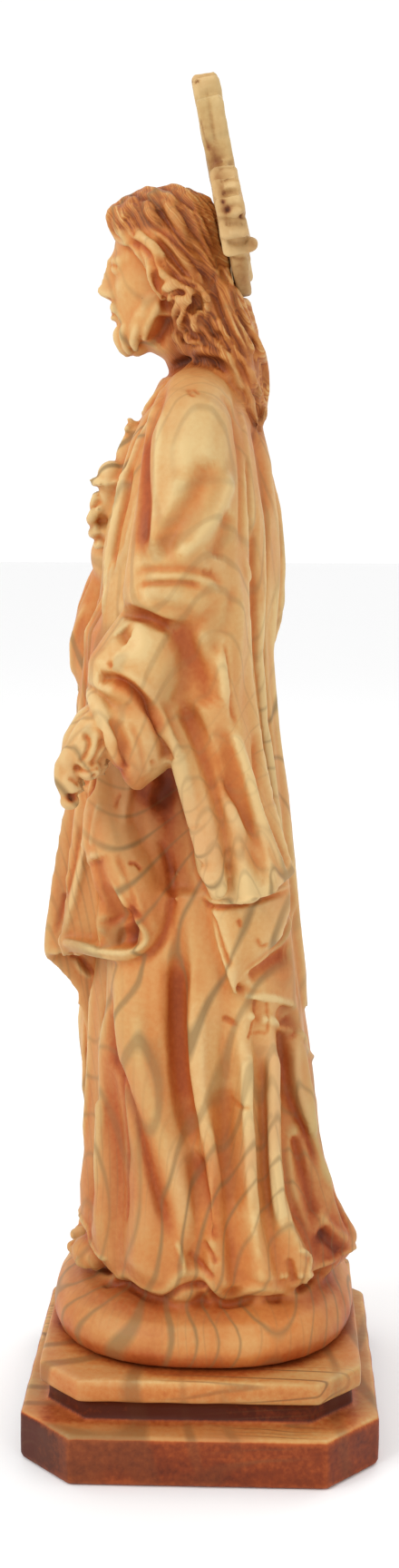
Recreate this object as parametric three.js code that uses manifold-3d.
// Standing robed figure with a rayed halo on a stepped plinth, in millimetres.
// The plinth rests on z = 0, the figure faces -Y and its left hand is on the +X side.
import * as THREE from 'three';
import { mergeVertices } from 'three/addons/utils/BufferGeometryUtils.js';
import { LoftGeometry } from 'three/addons/geometries/LoftGeometry.js';
import Module from 'manifold-3d';

// Plinth: a low block, a set-back neck and a slab, all with cut corners
const blockWidth = 90;
const blockDepth = 80.4;
const blockCorner = 11.4;
const blockHeight = 11.5;
const neckInset = 2.1;
const neckHeight = 5.1;
const slabWidth = 78.9;
const slabDepth = 72.6;
const slabCorner = 9.2;
const slabHeight = 5.2;
const wornEdge = 0.7;

// Ground mound under the robe
const moundWidth = 72;
const moundDepth = 71;
const moundRise = 13.4;
const moundSquareness = 2.5;

// The figure's own height from the mound's top to the crown of the hair
const figureHeight = 245.8;

// Halo: a round plate and three fans of bars
const plateRadius = 14.6;
const plateThickness = 3.4;
const plateBevel = 0.5;
const barsInFan = 5;
const barSpread = 7.4;
const barReach = 33.2;
const barShorten = 1.3;
const barWidth = 3.9;
const barThickness = 5.8;
const barBevel = 0.7;
const barRoot = 8;
const haloLean = 11;
const discSides = 24;
const seatClearance = 0.35;
const seatDepth = 16;

// The carving below is laid out between two heights, with the halo behind it, and then takes figureHeight
const carved = { ground: 35.2, crown: 281, haloHeight: 272, haloBehind: 5.6 };
const wholeTurn = 360;
const figureFaces = 8400;
// Places in a ring of each skin
const ringSizes = { skirt: 80, torso: 36, mantle: 80, cuff: 18, head: 28, hair: 44, mound: 36 };

const wasm = await Module();
wasm.setup();

const weldGap = 1e-4;
const turn = THREE.MathUtils.degToRad;
const point = (x, y, z) => new THREE.Vector3(x, y, z);

function closedSolid(geometry) {
  const bare = new THREE.BufferGeometry();
  bare.setAttribute('position', geometry.attributes.position);
  bare.setIndex(geometry.index);
  const welded = mergeVertices(bare, weldGap);
  const corners = welded.index.array;
  const kept = [];
  for (let i = 0; i < corners.length; i += 3) {
    const [a, b, c] = corners.slice(i, i + 3);
    if (a !== b && b !== c && c !== a) kept.push(a, b, c);
  }
  return new wasm.Manifold(new wasm.Mesh({
    numProp: 3,
    vertProperties: new Float32Array(welded.attributes.position.array),
    triVerts: new Uint32Array(kept),
  }));
}

function joined(geometries) {
  return geometries.map(closedSolid).reduce((whole, next) => whole.add(next));
}

function geometryOf(solid) {
  const faces = solid.getMesh();
  const geometry = new THREE.BufferGeometry();
  geometry.setAttribute('position', new THREE.BufferAttribute(faces.vertProperties, 3));
  geometry.setIndex(new THREE.BufferAttribute(faces.triVerts, 1));
  return geometry;
}

// Squared distance of a place from the planes gathered in a symmetric matrix of ten terms
function planeError(q, [x, y, z]) {
  return q[0] * x * x + q[4] * y * y + q[7] * z * z + q[9]
    + 2 * (q[1] * x * y + q[2] * x * z + q[5] * y * z + q[3] * x + q[6] * y + q[8] * z);
}

function triples(flat) {
  return Array.from({ length: flat.length / 3 }, (_, i) => Array.from(flat.subarray(3 * i, 3 * i + 3)));
}

// Draws edges together, least change first, until the closed skin has faceTarget faces
const simplify = {
  passes: 60,
  shareOfEdges: 0.2,
  leastEdges: 20,
  tinyEdge: 0.03,
  leastFace: 4e-3,
  noFace: 1e-9,
  flatness: 0.35,
  lengthCost: 2e-3,
};

function simplified(geometry, faceTarget) {
  const places = triples(geometry.attributes.position.array);
  const faces = triples(geometry.index.array);
  const around = places.map(() => new Set());
  const planes = places.map(() => new Array(10).fill(0));
  const minus = (a, b) => [a[0] - b[0], a[1] - b[1], a[2] - b[2]];
  const dot = (a, b) => a[0] * b[0] + a[1] * b[1] + a[2] * b[2];
  const normalOf = (a, b, c) => {
    const u = minus(b, a);
    const v = minus(c, a);
    return [u[1] * v[2] - u[2] * v[1], u[2] * v[0] - u[0] * v[2], u[0] * v[1] - u[1] * v[0]];
  };
  faces.forEach((face, id) => {
    const normal = normalOf(...face.map((i) => places[i]));
    const size = Math.hypot(...normal);
    face.forEach((i) => around[i].add(id));
    if (size < simplify.noFace) return;
    const [x, y, z] = normal.map((value) => value / size);
    const w = -dot([x, y, z], places[face[0]]);
    const terms = [x * x, x * y, x * z, x * w, y * y, y * z, y * w, z * z, z * w, w * w];
    face.forEach((i) => terms.forEach((term, k) => { planes[i][k] += term * size; }));
  });
  const neighbours = (i) => {
    const found = new Set();
    around[i].forEach((id) => faces[id].forEach((j) => found.add(j)));
    found.delete(i);
    return found;
  };
  const candidate = (a, b) => {
    const sum = planes[a].map((term, k) => term + planes[b][k]);
    const length = Math.hypot(...minus(places[a], places[b]));
    const middle = places[a].map((value, k) => (value + places[b][k]) / 2);
    const ranked = [places[a], places[b], middle].map((place) => [planeError(sum, place), place]);
    ranked.sort((one, two) => one[0] - two[0]);
    const [[change, place]] = ranked;
    return { a, b, length, cost: change + simplify.lengthCost * length * length, place };
  };
  const turnsOver = (moved, other, place) => [...around[moved]].some((id) => {
    const face = faces[id];
    if (face.includes(other)) return false;
    const before = normalOf(...face.map((i) => places[i]));
    const after = normalOf(...face.map((i) => (i === moved ? place : places[i])));
    const size = Math.hypot(...after);
    const leastTurn = simplify.flatness * Math.hypot(...before) * size;
    return dot(before, after) < leastTurn || size < simplify.leastFace;
  });
  let alive = faces.length;
  for (let pass = 0; pass < simplify.passes; pass += 1) {
    const edges = [];
    faces.forEach((face) => face && face.forEach((a, k) => {
      const b = face[(k + 1) % 3];
      if (a < b) edges.push(candidate(a, b));
    }));
    const tiny = edges.filter(({ length }) => length < simplify.tinyEdge);
    if (alive <= faceTarget && tiny.length === 0) break;
    const chosen = alive > faceTarget ? edges : tiny;
    chosen.sort((one, two) => one.cost - two.cost);
    const limit = Math.ceil(chosen.length * simplify.shareOfEdges) + simplify.leastEdges;
    const touched = new Set();
    let drawn = 0;
    for (const { a, b, place } of chosen.slice(0, limit)) {
      if (alive <= faceTarget && chosen === edges) break;
      if (touched.has(a) || touched.has(b)) continue;
      const near = neighbours(b);
      const shared = [...neighbours(a)].filter((i) => near.has(i));
      if (shared.length !== 2 || turnsOver(a, b, place) || turnsOver(b, a, place)) continue;
      shared.forEach((i) => touched.add(i));
      near.forEach((i) => touched.add(i));
      neighbours(a).forEach((i) => touched.add(i));
      places[a] = place;
      planes[a] = planes[a].map((term, k) => term + planes[b][k]);
      [...around[b]].forEach((id) => {
        const face = faces[id];
        face.forEach((i) => around[i].delete(id));
        if (face.includes(a)) {
          faces[id] = null;
          alive -= 1;
          return;
        }
        faces[id] = face.map((i) => (i === b ? a : i));
        faces[id].forEach((i) => around[i].add(id));
      });
      drawn += 1;
    }
    if (drawn === 0) break;
  }
  const slots = new Map();
  const positions = [];
  const index = faces.filter(Boolean).flat().map((i) => {
    if (!slots.has(i)) {
      slots.set(i, slots.size);
      positions.push(...places[i]);
    }
    return slots.get(i);
  });
  const result = new THREE.BufferGeometry();
  result.setAttribute('position', new THREE.Float32BufferAttribute(positions, 3));
  result.setIndex(index);
  return result;
}

// Value of one column of a table at a height, eased from row to row
function along(rows, column, height) {
  const last = rows.length - 1;
  if (height <= rows[0][0]) return rows[0][column];
  if (height >= rows[last][0]) return rows[last][column];
  let i = 0;
  while (rows[i + 1][0] < height) i += 1;
  const p0 = rows[Math.max(i - 1, 0)];
  const p1 = rows[i];
  const p2 = rows[i + 1];
  const p3 = rows[Math.min(i + 2, last)];
  const step = p2[0] - p1[0];
  const t = (height - p1[0]) / step;
  const m1 = (p2[column] - p0[column]) / (p2[0] - p0[0]) * step;
  const m2 = (p3[column] - p1[column]) / (p3[0] - p1[0]) * step;
  const t2 = t * t;
  const t3 = t2 * t;
  return (2 * t3 - 3 * t2 + 1) * p1[column] + (t3 - 2 * t2 + t) * m1
    + (3 * t2 - 2 * t3) * p2[column] + (t3 - t2) * m2;
}

function turnBetween(a, b) {
  const gap = (a - b) % wholeTurn;
  if (gap > wholeTurn / 2) return gap - wholeTurn;
  return gap < -wholeTurn / 2 ? gap + wholeTurn : gap;
}

// Sum of the folds at an angle round the body: a fold is a soft ridge, or a groove when it is negative,
// and its lift may change from its low end to its high end
const foldFade = 7;

function foldRise(folds, angle, height) {
  let rise = 0;
  for (const { line, width, lift, topLift = lift } of folds) {
    const low = line[0][0];
    const high = line[line.length - 1][0];
    const fade = THREE.MathUtils.smoothstep(height, low - foldFade, low + foldFade)
      * (1 - THREE.MathUtils.smoothstep(height, high - foldFade, high + foldFade));
    const share = THREE.MathUtils.clamp((height - low) / (high - low), 0, 1);
    const off = turnBetween(angle, along(line, 1, height)) / width;
    rise += (lift + (topLift - lift) * share) * fade * Math.exp(-off * off);
  }
  return rise;
}

// Columns of a body table: height, half width, reach to the front, reach to the back, centre in X
function bodyPoint(rows, angle, height, rise = 0) {
  const side = along(rows, 1, height);
  const deep = along(rows, Math.sin(turn(angle)) < 0 ? 2 : 3, height);
  const across = Math.cos(turn(angle));
  const back = Math.sin(turn(angle));
  return point(along(rows, 4, height) + (side + rise) * across, (deep + rise) * back, height);
}

function ringAngles(count) {
  return Array.from({ length: count }, (_, i) => i * wholeTurn / count);
}

// Skin over rings of points, drawn together to the middle of the first and last ring
function loft(sections) {
  const gathered = (section) => {
    const sum = section.reduce((whole, place) => whole.add(place), point(0, 0, 0));
    const middle = sum.divideScalar(section.length);
    return section.map(() => middle.clone());
  };
  return new LoftGeometry([gathered(sections[0]), ...sections, gathered(sections[sections.length - 1])]);
}

// Rounded bar through points of x, y, z, width, depth, with a dome at each end
const domeSteps = { tip: 0.72, shoulder: 0.46, shoulderSize: 0.76 };

function limb(stops, sides = 10, steps = 4, side = point(1, 0, 0)) {
  const path = new THREE.CatmullRomCurve3(stops.map(([x, y, z]) => point(x, y, z)));
  const rows = stops.map((stop, i) => [i / (stops.length - 1), stop[3], stop[4]]);
  const sections = [];
  const place = (t, scale, shift) => {
    const tangent = path.getTangent(t);
    const depth = tangent.clone().cross(side).normalize();
    const width = depth.clone().cross(tangent).normalize();
    const middle = path.getPoint(t).addScaledVector(tangent, shift);
    sections.push(ringAngles(sides).map((angle) => middle.clone()
      .addScaledVector(width, Math.cos(turn(angle)) * along(rows, 1, t) * scale)
      .addScaledVector(depth, Math.sin(turn(angle)) * along(rows, 2, t) * scale)));
  };
  const dome = (t, way) => Math.min(along(rows, 1, t), along(rows, 2, t)) * way;
  place(0, 0, dome(0, -domeSteps.tip));
  place(0, domeSteps.shoulderSize, dome(0, -domeSteps.shoulder));
  for (let i = 0; i <= steps; i += 1) place(i / steps, 1, 0);
  place(1, domeSteps.shoulderSize, dome(1, domeSteps.shoulder));
  place(1, 0, dome(1, domeSteps.tip));
  return new LoftGeometry(sections);
}

function ball(x, y, z, rx, ry, rz, sides) {
  return new THREE.SphereGeometry(1, sides, sides - 3).scale(rx, ry, rz).translate(x, y, z);
}

// Robe: height, half width, front, back, centre in X
const robe = [
  [31, 28, 23, 27, 0],
  [37, 30.5, 25.5, 33, 0],
  [42, 32, 28.5, 34.5, 0],
  [48, 30.6, 29, 31.5, 0],
  [57, 28, 27.5, 28, 0],
  [75, 26, 26, 26, 0],
  [95, 25, 25, 23, 0],
  [120, 24.6, 24.5, 20.5, 0],
  [150, 24.6, 24.5, 17.5, 0],
  [180, 24.6, 24, 14.5, 0],
  [205, 25, 22.5, 14, 0],
  [220, 23.5, 19.5, 12.5, 0],
  [230, 18.5, 15.5, 11, 0],
  [237, 12.4, 11.5, 10.5, 0],
  [243, 8.6, 9, 9.5, 0],
];
const skirtFolds = [
  { line: [[40, -24], [68, -27], [86, -36], [112, -50]], width: 9, lift: 3.4 },
  { line: [[38, -42], [66, -46], [84, -56]], width: 6, lift: -2 },
  { line: [[36, 0], [73, -4], [95, -13], [118, -11]], width: 5, lift: -3.4 },
  { line: [[40, 7], [73, 2], [86, -5], [112, -6]], width: 4, lift: 2 },
  { line: [[38, 15], [63, 14], [99, 14]], width: 5.5, lift: -2.8 },
  { line: [[38, 25], [63, 22], [99, 25]], width: 4.5, lift: 2.4 },
  { line: [[38, 34], [60, 30], [99, 34]], width: 4, lift: -1.8 },
  { line: [[38, 43], [66, 37], [99, 42]], width: 4.5, lift: 2.6 },
  { line: [[38, 56], [60, 50], [99, 54]], width: 6, lift: -3.2 },
  { line: [[38, 80], [60, 70], [80, 60], [99, 66]], width: 9, lift: 3 },
  { line: [[38, 98], [99, 92]], width: 6, lift: -2.4 },
  { line: [[38, 116], [99, 112]], width: 8, lift: 2.4 },
  { line: [[38, 136], [99, 132]], width: 6, lift: -2.2 },
  { line: [[38, 154], [105, 152]], width: 8, lift: 2.4 },
  { line: [[38, 174], [110, 172]], width: 6, lift: -2.2 },
  { line: [[38, 196], [110, 194]], width: 8, lift: 2.4 },
  { line: [[38, 216], [110, 212]], width: 6, lift: -2.2 },
  { line: [[40, 238], [110, 232]], width: 8, lift: 2.2 },
  { line: [[46, 254], [110, 250]], width: 5, lift: -2.2 },
  { line: [[48, 272], [110, 272]], width: 7, lift: 1.6 },
  { line: [[46, 290], [110, 292]], width: 5.5, lift: -2.4 },
  { line: [[44, 308], [100, 300]], width: 7, lift: 2 },
];
// Lower edge of the robe round the body: it lifts over the feet and waves elsewhere
const hemLow = 38.6;
const hemWave = 1.9;
const hemWaves = 9;
const hemFrontLift = 4.6;
const hemFrontWidth = 34;
const hemTurnIn = 2.6;
const hemDepth = 2.4;
const skirtTop = 128;
const skirtLevels = [0, 0.05, 0.13, 0.22, 0.32, 0.43, 0.55, 0.68, 0.84, 1];
const skirtFoot = { height: 29.2, inset: 6 };
const frontAngle = 270;

function hemHeight(angle) {
  const front = turnBetween(angle, frontAngle) / hemFrontWidth;
  return hemLow + hemWave * Math.sin(turn(angle * hemWaves)) + hemFrontLift * Math.exp(-front * front);
}

function skirt() {
  const angles = ringAngles(ringSizes.skirt);
  const ringAt = (share, inward, drop) => angles.map((angle) => {
    const low = hemHeight(angle);
    const height = low + (skirtTop - low) * share;
    const place = bodyPoint(robe, angle, height, foldRise(skirtFolds, angle, height) - inward);
    place.z -= drop;
    return place;
  });
  return loft([
    angles.map((angle) => bodyPoint(robe, angle, skirtFoot.height, -skirtFoot.inset)),
    ringAt(0, hemTurnIn, hemDepth),
    ...skirtLevels.map((share) => ringAt(share, 0, 0)),
  ]);
}

const chestFolds = [
  { line: [[150, 262], [190, 264], [226, 266]], width: 7, lift: 1 },
  { line: [[130, 284], [180, 286], [228, 282]], width: 5, lift: -1.4 },
  { line: [[130, 298], [180, 300], [226, 294]], width: 6, lift: 1.2 },
  { line: [[150, 250], [190, 248], [226, 252]], width: 5, lift: -1.2 },
  { line: [[122, -13], [160, -14]], width: 12, lift: -4.4 },
];
const torsoHeights = [122, 130, 140, 150, 160, 172, 184, 202, 216, 226, 234, 240];

function torso() {
  const angles = ringAngles(ringSizes.torso);
  return loft(torsoHeights.map((height) => angles.map((angle) => (
    bodyPoint(robe, angle, height, foldRise(chestFolds, angle, height))))));
}

// Mantle over the back and both shoulders: height, half width, front, back, centre in X
const mantle = [
  [60, 27.4, 29.6, 28, 0],
  [80, 27.4, 30.6, 25.4, 0],
  [97, 27.4, 31, 23.6, 0],
  [112, 27.2, 31.2, 21.6, 0],
  [130, 27, 31, 19.8, 0],
  [150, 27, 30, 17.6, 0],
  [166, 27, 28.6, 15, 0],
  [176, 27, 28, 13.6, 0],
  [190, 27.4, 26, 14.6, 0],
  [205, 27.4, 23, 15, 0],
  [218, 26, 19, 14, 0],
  [227, 22.4, 16, 12.6, 0],
  [234, 17, 13, 11.6, 0],
  [240, 11, 10.5, 10.5, 0],
];
const mantleFolds = [
  { line: [[104, 62], [150, 58], [200, 50], [226, 46]], width: 7, lift: 1.3 },
  { line: [[100, 76], [150, 72], [200, 64], [226, 60]], width: 5, lift: -1.6 },
  { line: [[98, 92], [150, 90], [200, 84], [228, 80]], width: 8, lift: 1.2 },
  { line: [[92, 112], [150, 108], [222, 100]], width: 6, lift: -1.5 },
  { line: [[88, 128], [150, 124], [222, 118]], width: 8, lift: 1.4 },
  { line: [[84, 146], [150, 144], [216, 136]], width: 6, lift: -1.4 },
  { line: [[80, 164], [150, 164], [205, 160]], width: 8, lift: 1.3 },
  { line: [[78, 184], [150, 188]], width: 6, lift: -1.4 },
  { line: [[76, 206], [120, 212], [160, 220]], width: 8, lift: 1.8 },
  { line: [[70, 226], [120, 234], [160, 244]], width: 6, lift: -1.8 },
  { line: [[66, 246], [100, 250], [140, 260], [172, 272]], width: 7, lift: 1.6 },
  { line: [[84, 257], [110, 260], [150, 270], [178, 284]], width: 4.5, lift: -2 },
  { line: [[102, 271], [130, 273], [160, 279]], width: 8.5, lift: 8.2, topLift: 0 },
  { line: [[102, 282], [130, 284], [170, 292]], width: 3.6, lift: -2.2, topLift: -1 },
  { line: [[102, 292], [130, 294], [170, 302]], width: 5, lift: 4.6, topLift: 1 },
  { line: [[102, 304], [140, 306], [168, 312]], width: 6, lift: -2.6, topLift: -1 },
];
// Hem of the mantle: angle round the body, height
const mantleHem = [
  [0, 168], [10, 150], [22, 116], [34, 104], [48, 101], [66, 100], [90, 96], [130, 88], [170, 82],
  [205, 76],
  [228, 66], [242, 61], [254, 66], [262, 92], [270, 106], [290, 110], [308, 114], [320, 130],
  [334, 166], [360, 168],
];
const mantleLevels = [0, 0.06, 0.14, 0.24, 0.35, 0.46, 0.57, 0.68, 0.78, 0.87, 0.94, 1];
const mantleTurnIn = 3.4;
const mantleInside = { inset: 12, lift: 9 };
const mantleLip = 1.4;
// The mantle is open down the chest, where it sinks under the robe: height, half angle
const chestOpening = [[186, 0], [200, 24], [226, 42], [240, 60]];
const openingMiddle = 274;
const openingSoft = 5;
const openingSink = 5;
const openingFoot = [184, 196];

function chestSink(angle, height) {
  const half = along(chestOpening, 1, height);
  const off = Math.abs(turnBetween(angle, openingMiddle));
  const open = 1 - THREE.MathUtils.smoothstep(off, half - openingSoft, half + openingSoft);
  return openingSink * open * THREE.MathUtils.smoothstep(height, ...openingFoot);
}

function mantleDrape() {
  const angles = ringAngles(ringSizes.mantle);
  const top = mantle[mantle.length - 1][0];
  const ringAt = (share, inward, drop) => angles.map((angle) => {
    const low = along(mantleHem, 1, angle);
    const height = low + (top - low) * share;
    const rise = foldRise(mantleFolds, angle, height) - chestSink(angle, height);
    const place = bodyPoint(mantle, angle, height, rise - inward);
    place.z += drop;
    return place;
  });
  return loft([
    ringAt(0, mantleInside.inset, mantleInside.lift),
    ringAt(0, mantleTurnIn, mantleLip),
    ...mantleLevels.map((share) => ringAt(share, 0, 0)),
  ]);
}

// Left arm: the mantle over the upper arm, then the forearm with the robe's cuff
const leftUpperArm = [
  [7, 0, 237.4, 5, 6], [13.6, -1.5, 234, 7.4, 8.4], [20.6, -3, 227.5, 9.2, 9.6],
  [25.8, -3.4, 214, 10, 10.4],
  [28, -4.2, 202, 10.8, 11.6], [28.8, -5, 192.6, 10.6, 12],
];
const leftElbow = [
  [27, -1, 204, 8.6, 8.6], [27.6, 0.4, 192, 9.2, 9.6], [27.4, 1, 180, 8.4, 8.6], [27.4, 3, 166, 6, 6],
];
const leftForearm = [
  [27, -5, 189, 8.4, 9.4], [28.4, -10, 182.6, 9.6, 10.2], [29.6, -13.6, 177, 9.8, 10.4],
  [30.2, -15, 174.6, 10, 10.6],
];
// Ridge of the mantle from under the forearm to the front corner of the fan
const fanRidge = [
  [28.6, -11.6, 177, 6.6, 6], [30.4, -7.4, 168, 5.2, 4.2], [31.6, -2.6, 157, 3.6, 3.2],
  [32.4, 1.4, 144, 2.6, 2.6],
  [32, 3.8, 130.4, 2.2, 2.2],
];

function leftArm() {
  return [
    limb(leftUpperArm, 14, 8), limb(leftElbow, 12, 5), limb(leftForearm, 14, 4), limb(fanRidge, 8, 7),
    cuff(), ...leftHand(),
  ];
}

// Bell of the robe's sleeve, hollow where the hand comes out: reach along its axis, radius, drop
const cuffProfile = [
  [-7.6, 6.4, 0], [-5.8, 10.2, 0], [0, 11.2, 0.4], [4.2, 11.6, 0.8], [5.3, 10.8, 0.8],
  [4.4, 9.2, 0.6], [-1, 6.6, 0],
];
const cuffMiddle = point(30, -14.2, 165.2);
const cuffAxis = point(0, -0.9, -0.43).normalize();
const cuffFlatness = 0.82;

function cuff() {
  const side = point(1, 0, 0);
  const over = cuffAxis.clone().cross(side).normalize();
  const angles = ringAngles(ringSizes.cuff);
  return loft(cuffProfile.map(([reach, radius, drop]) => angles.map((angle) => cuffMiddle.clone()
    .addScaledVector(cuffAxis, reach)
    .addScaledVector(side, Math.cos(turn(angle)) * radius * cuffFlatness)
    .addScaledVector(over, Math.sin(turn(angle)) * radius - drop))));
}

// Left hand, bent down with the fingers curled: each finger is moved and shortened from the first
const leftPalm = [
  [31, -15, 168.6, 5.4, 6], [31.2, -20, 166.4, 6, 6.2], [31.4, -23.6, 162.6, 6.4, 6],
  [31.2, -25.2, 158, 6, 5.2],
];
const leftThumb = [[26.4, -20, 165, 2.2, 2.3], [25, -25, 163, 2.2, 2.3], [26, -28.6, 160.4, 2, 2.1]];
const leftFinger = [
  [27, -26.4, 161.4, 2.1, 2.5], [27.2, -29, 157.4, 2, 2.3], [27.2, -29.2, 153.4, 1.8, 2.1],
  [26.9, -28, 150.4, 1.8, 2],
];
const fingerCount = 4;
const fingerGap = 2.7;
const longestFinger = 1.2;
const fingerShorten = 0.8;

function leftHand() {
  const finger = (i) => limb(leftFinger.map(([x, y, z, width, depth], joint) => [
    x + i * fingerGap, y, z + (joint > 1 ? Math.abs(i - longestFinger) * fingerShorten : 0), width, depth,
  ]), 6, 3);
  const fingers = Array.from({ length: fingerCount }, (_, i) => finger(i));
  return [limb(leftPalm, 10, 4), limb(leftThumb, 6, 3), ...fingers];
}

// Mantle hanging from the left forearm: height, front edge, back edge, reach at the side
const fan = [
  [127, 2, 22.4, 31.6],
  [131, 1.4, 21.2, 31.8],
  [146, -0.8, 16.6, 32],
  [160, -5.2, 13.6, 32.6],
  [170, -8.4, 11.8, 33.6],
  [184, -9.6, 10.6, 35.6],
  [196, -9, 10.2, 36.6],
  [210, -8, 9.8, 35.2],
  [222, -7, 9, 31.4],
  [231, -5, 8, 24],
  [237, -3, 7, 16],
];
// Place across the fan, width and lift of each fold
const fanFolds = [
  [0.05, 0.06, 1.9], [0.22, 0.09, -2.1], [0.44, 0.1, 1.4], [0.6, 0.07, -1.8], [0.78, 0.07, 1.9],
  [0.88, 0.05, -1.2],
  [0.98, 0.06, 1.5],
];
const fanHem = [[0, 129], [0.12, 127.2], [0.45, 127.4], [0.8, 130.2], [1, 132.6]];
const fanSides = 18;
const fanLevels = [0, 0.07, 0.17, 0.29, 0.42, 0.56, 0.7, 0.82, 0.92, 1];
const fanTurnIn = { depth: 5, lift: 3 };
const fanLip = { depth: 2.2, lift: 0.6 };
const fanInside = { reach: 13, narrowing: 0.6, everySide: 3 };
const fanFoldFade = 1.5;
const fanFoldLeast = 0.12;
// The fan's section bends back from its middle to both edges
const fanBend = { middle: 0.42, power: 2.4, front: 2.4, back: 7.4 };

function fanReach(t, share) {
  const spread = Math.max(1 - fanFoldFade * share, fanFoldLeast);
  const fold = ([at, width, lift]) => lift * Math.exp(-(((t - at) / width) ** 2));
  const rise = fanFolds.reduce((sum, row) => sum + fold(row), 0);
  const bend = Math.abs(2 * (t - fanBend.middle)) ** fanBend.power;
  return rise * spread - bend * (t > fanBend.middle ? fanBend.back : fanBend.front);
}

function fanDrape() {
  const top = fan[fan.length - 1][0];
  const ringAt = (share, inward, lift) => {
    const outer = [];
    const inner = [];
    for (let i = 0; i <= fanSides; i += 1) {
      const t = i / fanSides;
      const low = along(fanHem, 1, t);
      const height = low + (top - low) * share;
      const front = along(fan, 1, height);
      const depth = front + (along(fan, 2, height) - front) * t;
      outer.push(point(along(fan, 3, height) + fanReach(t, share) - inward, depth, height + lift));
      if (i > 0 && i < fanSides && i % fanInside.everySide === 0) {
        inner.unshift(point(fanInside.reach, depth * fanInside.narrowing, height + lift));
      }
    }
    return [...outer, ...inner];
  };
  return loft([
    ringAt(0, fanTurnIn.depth, fanTurnIn.lift),
    ringAt(0, fanLip.depth, fanLip.lift),
    ...fanLevels.map((share) => ringAt(share, 0, 0)),
  ]);
}

// Pointed lining below the fan: height, front, back, reach at the side
const liningRows = [
  [105.6, 7.4, 9.4, 26.4], [110, 5.8, 11.5, 27], [118, 3.4, 18, 27.4], [124, 2.4, 19.8, 27.4],
  [131, 2.2, 19.6, 27.6],
];
const liningSides = 8;
const liningInside = { reach: 14, narrowing: 0.7 };
const liningBend = { from: 0.35, power: 1.5, depth: 12 };
const liningWave = { count: 9, lift: 0.6 };

function fanLining() {
  return loft(liningRows.map(([height, front, back, reach]) => {
    const ring = [];
    for (let i = 0; i <= liningSides; i += 1) {
      const t = i / liningSides;
      const bend = liningBend.depth * Math.max(t - liningBend.from, 0) ** liningBend.power;
      const wave = liningWave.lift * Math.sin(liningWave.count * t);
      ring.push(point(reach - bend + wave, front + (back - front) * t, height));
    }
    const { reach: depth, narrowing } = liningInside;
    ring.push(point(depth, back * narrowing, height), point(depth, front * narrowing, height));
    return ring;
  }));
}

// Front edge of the mantle under the left hand, rolled outwards like a trumpet, with a lip below
const trumpetRoll = [
  [15.4, -21, 154, 3.6, 4], [17.2, -20.6, 143, 4.8, 6], [18.6, -18.8, 134.6, 5.8, 7.2],
  [19.4, -15.4, 126.6, 5.8, 7.4],
  [19.8, -12.4, 119.6, 5, 4.8],
];
const trumpetLip = [
  [20, -11.4, 122, 3.4, 3], [20.6, -11.2, 117.4, 3, 2.6], [20, -14, 114.2, 2.6, 2],
  [18.4, -20, 113.2, 2.2, 1.7],
  [15, -27, 113.6, 2, 1.6], [10.6, -32, 114, 2, 1.6],
];
const trumpetPocket = [
  [24.6, -24.4, 131, 1.6, 1.6], [24.8, -20.8, 125, 3.4, 3], [24, -18.2, 120.4, 4.6, 3.8],
  [22.4, -17, 117, 4, 2.4],
];

function trumpet() {
  return {
    roll: [limb(trumpetRoll, 12, 5), limb(trumpetLip, 8, 8)],
    pocket: limb(trumpetPocket, 8, 4),
  };
}

// Right arm: raised across the body, its wide sleeve hanging at the front
const upright = point(0, 0, 1);
const rightShoulder = [
  [-14, 3, 232, 7, 6], [-20, 6.6, 220, 8.8, 8.4], [-21.4, 8.6, 204, 9.4, 8.8], [-21, 8.4, 188, 9.2, 8.8],
  [-19.6, 7.4, 180, 7.4, 7.4],
];
const rightUpperArm = [
  [-7, 0, 237.4, 5, 6], [-13, -1, 235, 7, 8], [-20.4, -1.5, 228, 9.4, 10.5], [-25, -0.5, 214, 10, 11.5],
  [-27, 1, 200, 10, 12.4], [-27.4, 1, 188, 9.6, 12.4],
];
const rightForearm = [
  [-28, -4, 184, 8.4, 9], [-26.4, -13, 187, 8, 10], [-20, -19.4, 195, 7, 9], [-14.6, -22, 201.4, 6, 7.4],
];
const rightSleeve = [
  [-19, -20, 198, 7, 6.4], [-22, -23.6, 188, 9.4, 7.6], [-24, -26, 177, 9.6, 7.8],
  [-24.4, -26, 169, 7.8, 5.8],
];
const rightPalm = [
  [-14.5, -22, 202, 3.4, 3.6], [-10, -23, 206.4, 3.2, 3.4], [-6.5, -22.8, 209, 2.6, 3.2],
];
const rightFingers = [
  [[-7.4, -23.4, 208.4, 1.3, 1.3], [-3.4, -24.6, 209.4, 1.2, 1.2], [0.4, -24.2, 211.4, 1.1, 1.1]],
  [[-7.2, -22.6, 210.6, 1.3, 1.3], [-3.2, -23.4, 212.4, 1.2, 1.2], [-0.6, -23.2, 214.6, 1.1, 1.1]],
  [[-8.4, -23.6, 206, 1.3, 1.3], [-4.8, -24.8, 206, 1.3, 1.2], [-2.4, -23.4, 206.6, 1.2, 1.1]],
  [[-9, -23, 204.4, 1.2, 1.2], [-6, -23.8, 203.6, 1.2, 1.1], [-4.2, -22.6, 203.8, 1.1, 1]],
];

function rightArm() {
  return [
    limb(rightShoulder, 12, 5), limb(rightUpperArm, 14, 8), limb(rightForearm, 12, 5, point(0, 1, 0)),
    limb(rightSleeve, 12, 5), limb(rightPalm, 8, 3), ...rightFingers.map((stops) => limb(stops, 6, 3)),
  ];
}

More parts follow.
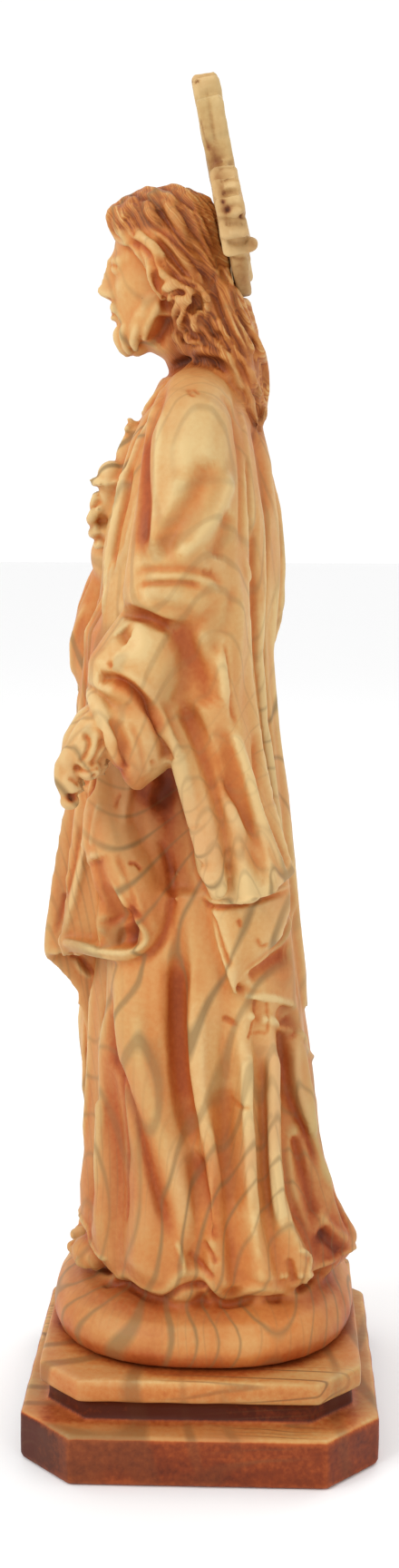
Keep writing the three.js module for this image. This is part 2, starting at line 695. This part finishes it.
// Heart with a crown of thorns, flames and a small cross
const heartLobe = { x: 1.7, y: -20.6, z: 218.4, wide: 3.3, deep: 3.2, tall: 3.4 };
const heartPoint = [[0, -20.4, 218, 4, 3], [0, -21.4, 214.6, 2.4, 2.4], [0, -22, 211.8, 0.9, 1]];
const thornCrown = [
  [-4.6, -20, 217.6, 0.8, 0.8], [-2.4, -23.4, 216.6, 0.8, 0.8], [0.4, -24.2, 216.4, 0.8, 0.8],
  [3, -23.2, 217, 0.8, 0.8], [4.8, -20, 218, 0.8, 0.8],
];
const heartFlame = [[0, -18.6, 220, 2.4, 1.6], [0, -18.4, 224, 1.9, 1.3], [0, -17.4, 227.4, 0.9, 0.8]];
const crossPost = [[0, -17.6, 225, 0.8, 0.8], [0, -17, 231.4, 0.8, 0.8]];
const crossArms = [[-2.1, -17.2, 229, 0.8, 0.8], [2.1, -17.2, 229, 0.8, 0.8]];

function heart() {
  const { x, y, z, wide, deep, tall } = heartLobe;
  return [
    ball(x, y, z, wide, deep, tall, 10), ball(-x, y, z, wide, deep, tall, 10), limb(heartPoint, 8, 3),
    limb(thornCrown, 6, 6, upright), limb(heartFlame, 8, 4), limb(crossPost, 6, 1),
    limb(crossArms, 6, 1, upright),
  ];
}

// Head: height, half width, front, back, centre in Y
const headRows = [
  [243.5, 6, 5, 7, -2.5], [246, 6.8, 9, 7.4, -5], [248.6, 7.6, 12, 8.6, -6.4], [252, 8.6, 12.8, 10, -7],
  [256.5, 9.4, 13, 11.4, -7.2], [261, 10, 12.8, 12.4, -7.2], [265, 10.4, 13, 13, -7.2],
  [269, 10.4, 13, 13, -7.2], [273, 10, 12, 12, -7.2], [276.5, 8.4, 9.8, 10, -7.2],
  [279, 5.4, 6.4, 6.4, -7.2],
];
const faceForms = [
  { at: 270, height: 265.4, width: 30, tall: 1.7, lift: 0.7 },
  { at: 246, height: 263.2, width: 12, tall: 2, lift: -1.5 },
  { at: 294, height: 263.2, width: 12, tall: 2, lift: -1.5 },
  { at: 246, height: 263, width: 7, tall: 1.1, lift: 0.9 },
  { at: 294, height: 263, width: 7, tall: 1.1, lift: 0.9 },
  { at: 270, height: 262, width: 7, tall: 2.6, lift: 1 },
  { at: 270, height: 258.8, width: 9, tall: 1.8, lift: 3 },
  { at: 240, height: 258, width: 16, tall: 3, lift: 0.6 },
  { at: 300, height: 258, width: 16, tall: 3, lift: 0.6 },
  { at: 270, height: 254.6, width: 16, tall: 1, lift: 0.9 },
  { at: 270, height: 252.4, width: 13, tall: 0.8, lift: 0.7 },
  { at: 270, height: 249, width: 16, tall: 1.8, lift: 1.2 },
];

const headLevels = [244, 249, 251, 252.8, 254.6, 256.4, 258.4, 260.6, 262.8, 264.8, 267, 271, 276];
const sidewaysShare = 0.4;
const neckStops = [[0, 0, 234, 8, 8], [0, -1, 241, 6.6, 7.2], [0, -3.4, 250, 6.6, 7.6]];

function head() {
  const angles = ringAngles(ringSizes.head);
  return loft(headLevels.map((height) => angles.map((angle) => {
    let rise = 0;
    for (const { at, height: level, width, tall, lift } of faceForms) {
      const round = turnBetween(angle, at) / width;
      const up = (height - level) / tall;
      rise += lift * Math.exp(-round * round - up * up);
    }
    const sine = Math.sin(turn(angle));
    const deep = along(headRows, sine < 0 ? 2 : 3, height) + rise;
    const wide = along(headRows, 1, height) + rise * sidewaysShare;
    return point(wide * Math.cos(turn(angle)), along(headRows, 4, height) + deep * sine, height);
  })));
}

// Hair: height, half width, front, back, centre in Y
const hairRows = [
  [229.5, 5, 3, 2.4, 9.4], [234, 9, 5, 3.8, 8.4], [240, 11.4, 7.6, 5.8, 6.4], [246, 12.2, 10, 8, 3.6],
  [252, 12.8, 12.6, 10.4, 0], [258, 13, 14.4, 12, -3.4], [264, 13, 15, 12, -5.6],
  [270, 12.4, 15, 11.6, -6.6],
  [275, 10.8, 13.8, 10.6, -7.2], [278.6, 7.8, 10.4, 8.6, -7.8], [281, 3.4, 4.6, 4.4, -8.4],
];
// Half angle of the opening round the face at a height
const faceOpening = [
  [240, 92], [246, 80], [252, 67], [260, 62], [267, 57], [272, 42], [275.6, 12], [277, 0],
];
const hairLocks = { count: 15, lift: 0.9, slant: 9 };
const hairParting = { height: 277, before: 7, after: 3, sink: 4.6 };
const hairRoll = { after: 9, width: 8, lift: 1.1 };

function hairPoint(angle, height) {
  const half = along(faceOpening, 1, height);
  const off = Math.abs(turnBetween(angle, frontAngle));
  const open = height < hairParting.height
    ? 1 - THREE.MathUtils.smoothstep(off, half - hairParting.before, half + hairParting.after) : 0;
  const slant = (height - hairRows[0][0]) * hairLocks.slant;
  const wave = Math.sin(turn(angle * hairLocks.count + slant)) * hairLocks.lift;
  const edge = Math.exp(-(((off - half - hairRoll.after) / hairRoll.width) ** 2)) * hairRoll.lift;
  const rise = (wave + edge) * (1 - open) - open * hairParting.sink;
  const sine = Math.sin(turn(angle));
  const deep = along(hairRows, sine < 0 ? 2 : 3, height) + rise;
  const wide = along(hairRows, 1, height) + rise;
  return point(wide * Math.cos(turn(angle)), along(hairRows, 4, height) + deep * sine, height);
}

// Locks of one side, which the other side repeats: down from the forehead, on the shoulder, at the nape
const sideLocks = [
  [[0.6, -20, 275.4, 1.6, 1.8], [5, -19.4, 273, 1.9, 2.1], [9.2, -15.8, 268.8, 1.5, 1.9],
    [11.8, -11, 262.4, 1.4, 1.8], [11.8, -8.8, 255.6, 1, 1.4]],
  [[8.4, -13, 274, 1.5, 1.6], [11, -9, 269, 1.6, 1.8], [12.6, -4, 262.6, 1.5, 1.8],
    [12.8, -1.4, 256.4, 1, 1.3]],
  [[11.4, -8, 259, 1.3, 1.5], [12.6, -4.6, 255, 1.5, 1.6], [12.4, -3, 250, 1.3, 1.5],
    [11.4, -0.6, 246, 0.9, 1.1]],
  [[10.6, 2.6, 248, 2.6, 3.4], [9.6, 1, 243.4, 3, 3.6], [9.6, -2.4, 240.6, 2.6, 2.6],
    [10, -6, 238.6, 1.6, 1.6]],
  [[4.3, 10.4, 236, 2.2, 1.8], [4.6, 11.4, 230, 1.7, 1.5], [3.6, 11.6, 225.4, 0.9, 0.9]],
];
const hairLevels = [
  229.5, 233, 237, 241, 245, 249, 253, 257, 261, 265, 269, 272.4, 275.4, 278.4, 280.8,
];

function mirrored(stops) {
  return stops.map(([x, ...rest]) => [-x, ...rest]);
}

function hair() {
  const angles = ringAngles(ringSizes.hair);
  const cap = loft(hairLevels.map((height) => angles.map((angle) => hairPoint(angle, height))));
  const locks = [...sideLocks, ...sideLocks.map(mirrored)];
  return [cap, ...locks.map((stops) => limb(stops, 6, 5))];
}

const chinBeard = [[0, -14.6, 253, 6.4, 4.4], [0, -15.6, 249.4, 5.2, 4.2], [0, -15.4, 246.6, 3, 2.8]];
const jawBeard = [[8.6, -10.6, 257, 1.4, 2.6], [6.6, -14, 251.6, 2, 2.6], [3, -16.6, 248.6, 2, 2.4]];

function beard() {
  return [limb(chinBeard, 12, 3), limb(jawBeard, 6, 3), limb(mirrored(jawBeard), 6, 3)];
}

// Both feet under the lifted front of the hem: place and radii of the foot, then of the first toe
const foot = { apart: 8, shift: 1.5, y: -24.5, z: 39.4, wide: 5.4, deep: 6, tall: 3.6 };
const toe = {
  count: 5, gap: 2.1, y: -29, back: 0.7, z: 38.4, wide: 1.4, narrowing: 0.09, deep: 2.4, tall: 1.9,
};

function feet() {
  return [-1, 1].flatMap((way) => {
    const middle = way * foot.apart + foot.shift;
    const across = (i) => middle + way * (i - (toe.count - 1) / 2) * toe.gap;
    const toes = Array.from({ length: toe.count }, (_, i) => ball(across(i), toe.y + i * toe.back,
      toe.z, toe.wide - i * toe.narrowing, toe.deep, toe.tall, 6));
    return [ball(middle, foot.y, foot.z, foot.wide, foot.deep, foot.tall, 8), ...toes];
  });
}

// Rounded mound that rolls under at the slab
const moundProfile = [
  [0.9, 0], [0.97, 0.1], [1, 0.32], [0.985, 0.56], [0.93, 0.75], [0.82, 0.9], [0.6, 0.98],
];

function mound() {
  const n = moundSquareness;
  const angles = ringAngles(ringSizes.mound);
  return loft(moundProfile.map(([reach, rise]) => angles.map((angle) => {
    const cos = Math.cos(turn(angle));
    const sin = Math.sin(turn(angle));
    const soft = (Math.abs(cos) ** n + Math.abs(sin) ** n) ** (-1 / n) * reach / 2;
    return point(cos * soft * moundWidth, sin * soft * moundDepth, slabTop + rise * moundRise);
  })));
}

const slabTop = blockHeight + neckHeight + slabHeight;
const carvedScale = figureHeight / (carved.crown - carved.ground);
const carvedLift = slabTop + moundRise;

function placeCarving(solid) {
  return solid.translate([0, 0, -carved.ground]).scale([carvedScale, carvedScale, carvedScale])
    .translate([0, 0, carvedLift]);
}

// Outline of a plinth step with its four corners cut
function cutRectangle(width, depth, corner) {
  const x = width / 2;
  const y = depth / 2;
  const outline = [
    [x - corner, -y], [x, -y + corner], [x, y - corner], [x - corner, y],
    [-x + corner, y], [-x, y - corner], [-x, -y + corner], [-x + corner, -y],
  ];
  return new THREE.Shape(outline.map(([px, py]) => new THREE.Vector2(px, py)));
}

function plinthStep(width, depth, corner, height, bottom) {
  const outline = cutRectangle(width - 2 * wornEdge, depth - 2 * wornEdge, corner);
  const geometry = new THREE.ExtrudeGeometry(outline, {
    depth: height - 2 * wornEdge,
    bevelEnabled: true,
    bevelThickness: wornEdge,
    bevelSize: wornEdge,
    bevelSegments: 2,
    steps: 1,
  });
  return geometry.translate(0, 0, bottom + wornEdge);
}

function plinth() {
  const neck = new THREE.ExtrudeGeometry(
    cutRectangle(slabWidth - 2 * neckInset, slabDepth - 2 * neckInset, slabCorner),
    { depth: neckHeight + 2 * wornEdge, bevelEnabled: false },
  );
  return joined([
    plinthStep(blockWidth, blockDepth, blockCorner, blockHeight, 0),
    neck.translate(0, 0, blockHeight - wornEdge),
    plinthStep(slabWidth, slabDepth, slabCorner, slabHeight, blockHeight + neckHeight),
  ]);
}

// Halo, built flat about its own middle with its bars in the XZ plane
function plate() {
  const disc = new THREE.Shape();
  disc.absarc(0, 0, plateRadius - plateBevel, 0, turn(wholeTurn));
  const geometry = new THREE.ExtrudeGeometry(disc, {
    depth: plateThickness - 2 * plateBevel,
    bevelThickness: plateBevel,
    bevelSize: plateBevel,
    bevelSegments: 1,
    curveSegments: discSides,
  });
  return geometry.translate(0, 0, plateBevel - plateThickness / 2);
}

function bar(step) {
  const reach = barReach - barShorten * step * step;
  const half = barWidth / 2 - barBevel;
  const outline = new THREE.Shape([
    new THREE.Vector2(barRoot, -half), new THREE.Vector2(reach - barBevel, -half),
    new THREE.Vector2(reach - barBevel, half), new THREE.Vector2(barRoot, half),
  ]);
  const geometry = new THREE.ExtrudeGeometry(outline, {
    depth: barThickness - 2 * barBevel,
    bevelThickness: barBevel,
    bevelSize: barBevel,
    bevelSegments: 1,
  });
  return geometry.translate(0, 0, barBevel - barThickness / 2).rotateZ(turn(step * barSpread));
}

const fanMiddles = [0, 90, 180];
const lastStep = (barsInFan - 1) / 2;

function haloParts() {
  const bars = fanMiddles.flatMap((middle) => (
    Array.from({ length: barsInFan }, (_, i) => bar(i - lastStep).rotateZ(turn(middle)))));
  return [plate(), ...bars];
}

// Room for the halo in the hair: the plate and one block for each fan, open to the back
function haloSeat() {
  const half = barWidth / 2 + seatClearance;
  const outer = barReach * Math.sin(turn(lastStep * barSpread)) + half;
  const front = (thickness) => thickness / 2 + seatClearance;
  const disc = new THREE.Shape();
  disc.absarc(0, 0, plateRadius + seatClearance, 0, turn(wholeTurn));
  const back = new THREE.ExtrudeGeometry(disc, {
    depth: seatDepth + front(plateThickness),
    bevelEnabled: false,
    curveSegments: discSides,
  });
  const blocks = fanMiddles.map((middle) => {
    const outline = new THREE.Shape([
      new THREE.Vector2(-half, -half), new THREE.Vector2(barReach, -outer),
      new THREE.Vector2(barReach, outer), new THREE.Vector2(-half, half),
    ]);
    const block = new THREE.ExtrudeGeometry(outline, {
      depth: seatDepth + front(barThickness),
      bevelEnabled: false,
    });
    return block.translate(0, 0, -seatDepth).rotateZ(turn(middle));
  });
  return [back.translate(0, 0, -seatDepth), ...blocks];
}

function placedHalo(parts) {
  const height = carvedLift + (carved.haloHeight - carved.ground) * carvedScale;
  return joined(parts).rotate([90 + haloLean, 0, 0])
    .translate([0, carved.haloBehind * carvedScale, height]);
}

function figure() {
  const { roll, pocket } = trumpet();
  const carving = joined([
    skirt(), torso(), mantleDrape(), ...leftArm(), fanDrape(), fanLining(), ...roll, ...rightArm(),
    ...heart(), head(), limb(neckStops, 12, 3), ...hair(), ...beard(), ...feet(),
  ]).subtract(closedSolid(pocket));
  return placeCarving(carving).add(closedSolid(mound()));
}

function named(name, geometry, color, roughness) {
  const mesh = new THREE.Mesh(geometry, new THREE.MeshStandardMaterial({ color, roughness, metalness: 0 }));
  mesh.name = name;
  return mesh;
}

const carvedFigure = figure().subtract(placedHalo(haloSeat()));
const statue = new THREE.Group();
statue.add(
  named('plinth', geometryOf(plinth()), 0x8a4a2c, 0.45),
  named('figure', simplified(geometryOf(carvedFigure), figureFaces), 0xd9a066, 0.4),
  named('halo', geometryOf(placedHalo(haloParts())), 0xe0bd84, 0.45),
);

export default statue;
